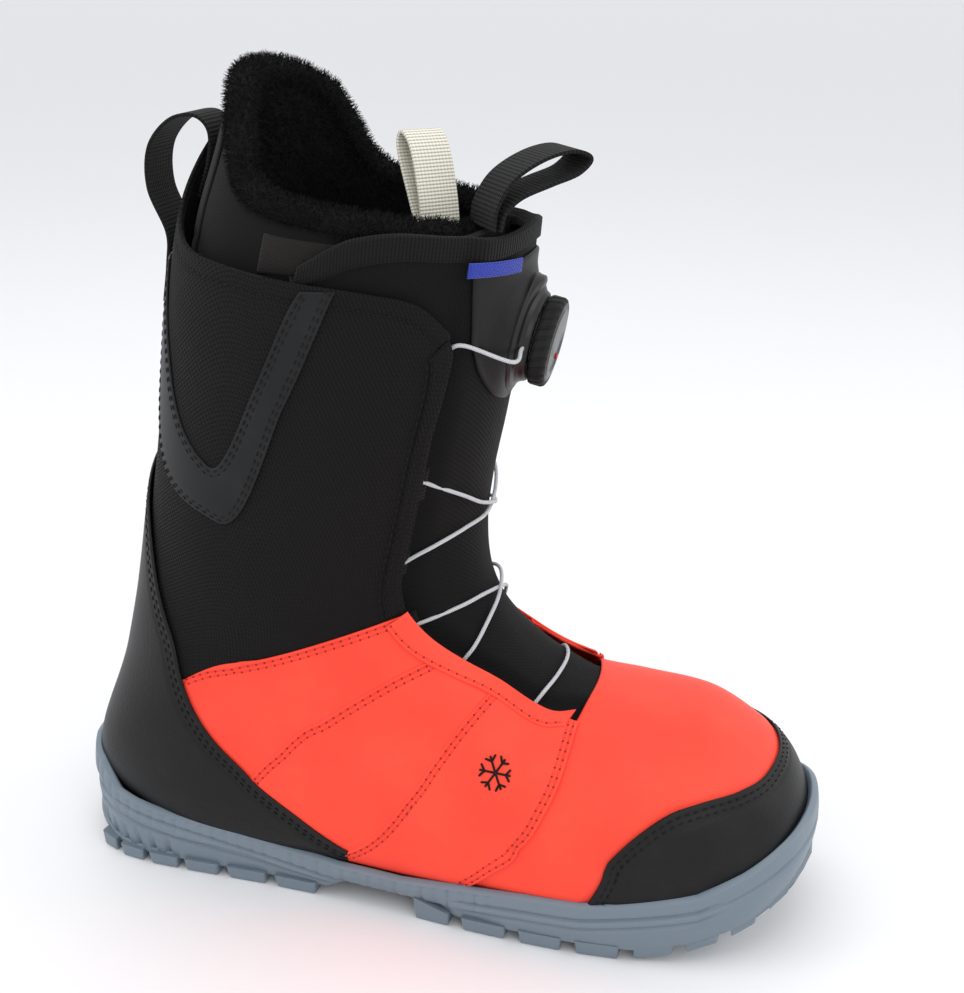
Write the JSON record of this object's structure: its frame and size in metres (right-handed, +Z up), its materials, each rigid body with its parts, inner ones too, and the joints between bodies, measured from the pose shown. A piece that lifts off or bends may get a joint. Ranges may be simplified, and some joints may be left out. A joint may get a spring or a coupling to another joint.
{
  "type": "snowboard boot",
  "caption": "Right-foot snowboard boot with a lugged rubber sole, layered shell, removable-style liner, pull loops and a turn-dial lace closure.",
  "frame": {"origin": "centre of the sole's footprint, on the floor plane that the tread rests on", "axes": "+X towards the toe, -Y towards the outer side of this right boot, +Z up"},
  "size_m": [0.304, 0.1152, 0.3246],
  "materials": {
    "ballistic": "woven black ballistic textile",
    "black_film": "smooth fused overlay",
    "black_leather": "grained black synthetic leather",
    "blue_label": "blue woven tab",
    "board": "stiff fibre board",
    "dark_label": "printed patch",
    "dial_grey": "grey moulded nylon",
    "dial_plastic": "black moulded nylon",
    "dial_rubber": "soft black rubber",
    "foam": "closed-cell foam",
    "fur": "short black pile",
    "lace_steel": "grey braided lace",
    "liner_fabric": "black brushed fabric",
    "liner_smooth": "smooth dark grey stretch fabric",
    "mesh_textile": "fine woven mesh",
    "orange_leather": "smooth orange-red synthetic leather",
    "plate": "moulded matt black",
    "red_plastic": "red insert",
    "rubber_sole": "translucent satin rubber",
    "steel": "stainless steel",
    "webbing_black": "ribbed black webbing",
    "webbing_cream": "cream webbing"
  },
  "bodies": {
    "boot": {"outsole": "rubber_sole", "shank_plate": "plate", "midsole": "foam", "lasting_board": "board", "toe_cap": "black_leather", "vamp": "orange_leather", "lateral_quarter_front": "orange_leather", "medial_quarter_front": "orange_leather", "lateral_quarter_mid": "orange_leather", "medial_quarter_mid": "orange_leather", "lateral_quarter_rear": "orange_leather", "medial_quarter_rear": "orange_leather", "heel_overlay": "black_leather", "lateral_cuff": "ballistic", "medial_cuff": "ballistic", "lateral_v_overlay": "black_film", "medial_v_overlay": "black_film", "lateral_flap_facing": "ballistic", "medial_flap_facing": "ballistic", "lateral_eyestay": "orange_leather", "medial_eyestay": "orange_leather", "tongue": "mesh_textile", "tongue_mesh": "mesh_textile", "tongue_pad": "black_film", "tongue_binding": "webbing_black", "tongue_label": "blue_label", "lateral_guide_1": "webbing_black", "lateral_guide_2": "webbing_black", "lateral_guide_3": "webbing_black", "lateral_guide_4": "webbing_black", "lateral_guide_5": "webbing_black", "medial_guide_1": "webbing_black", "medial_guide_2": "webbing_black", "medial_guide_3": "webbing_black", "medial_guide_4": "webbing_black", "medial_guide_5": "webbing_black", "dial_base": "dial_plastic", "dial_axle": "steel", "ratchet_ring": "steel", "lace": "lace_steel", "heel_loop": "webbing_black", "front_loop_tail": "webbing_black", "liner_tab_tail": "webbing_cream", "liner_foot": "liner_fabric", "liner_shaft": "liner_fabric", "liner_tongue": "liner_fabric", "liner_collar": "fur", "liner_rear_panel": "liner_smooth", "liner_label": "dark_label", "footbed": "foam", "lateral_emblem": "black_film"},
    "pull_slider": {"pull_bush": "steel"},
    "knob": {"drive_plate": "dial_grey", "knob_core": "dial_plastic", "knob_grip": "dial_rubber", "knob_cap": "dial_grey", "knob_dot": "red_plastic"},
    "spool": {"lace_spool": "dial_grey"},
    "front_pull_loop": {"front_loop": "webbing_black"},
    "liner_pull_tab": {"liner_tab": "webbing_cream"}
  },
  "joints": [
    {"name": "dial_pull", "type": "slide", "parent": "boot", "child": "pull_slider", "axis": [0.9781, 0, -0.2079], "range_m": [0, 0.0025]},
    {"name": "dial_turn", "type": "hinge", "parent": "pull_slider", "child": "knob", "pos_m": [0.0292, 0, 0.2255], "axis": [0.9781, 0, -0.2079], "continuous": true},
    {"name": "spool_turn", "type": "hinge", "parent": "boot", "child": "spool", "pos_m": [0.0292, 0, 0.2255], "axis": [0.9781, 0, -0.2079], "continuous": true},
    {"name": "front_loop_swing", "type": "hinge", "parent": "boot", "child": "front_pull_loop", "pos_m": [0.01927, -0.01997, 0.26736], "axis": [-0.5736, 0.8192, 0], "range_deg": [-26, 3]},
    {"name": "liner_tab_swing", "type": "hinge", "parent": "boot", "child": "liner_pull_tab", "pos_m": [0.00238, -0.01959, 0.26425], "axis": [0.6428, 0.766, 0], "range_deg": [-14, 6]}
  ],
  "couplings": [
    {"joint": "spool_turn", "follows": "dial_turn", "ratio": 1}
  ]
}
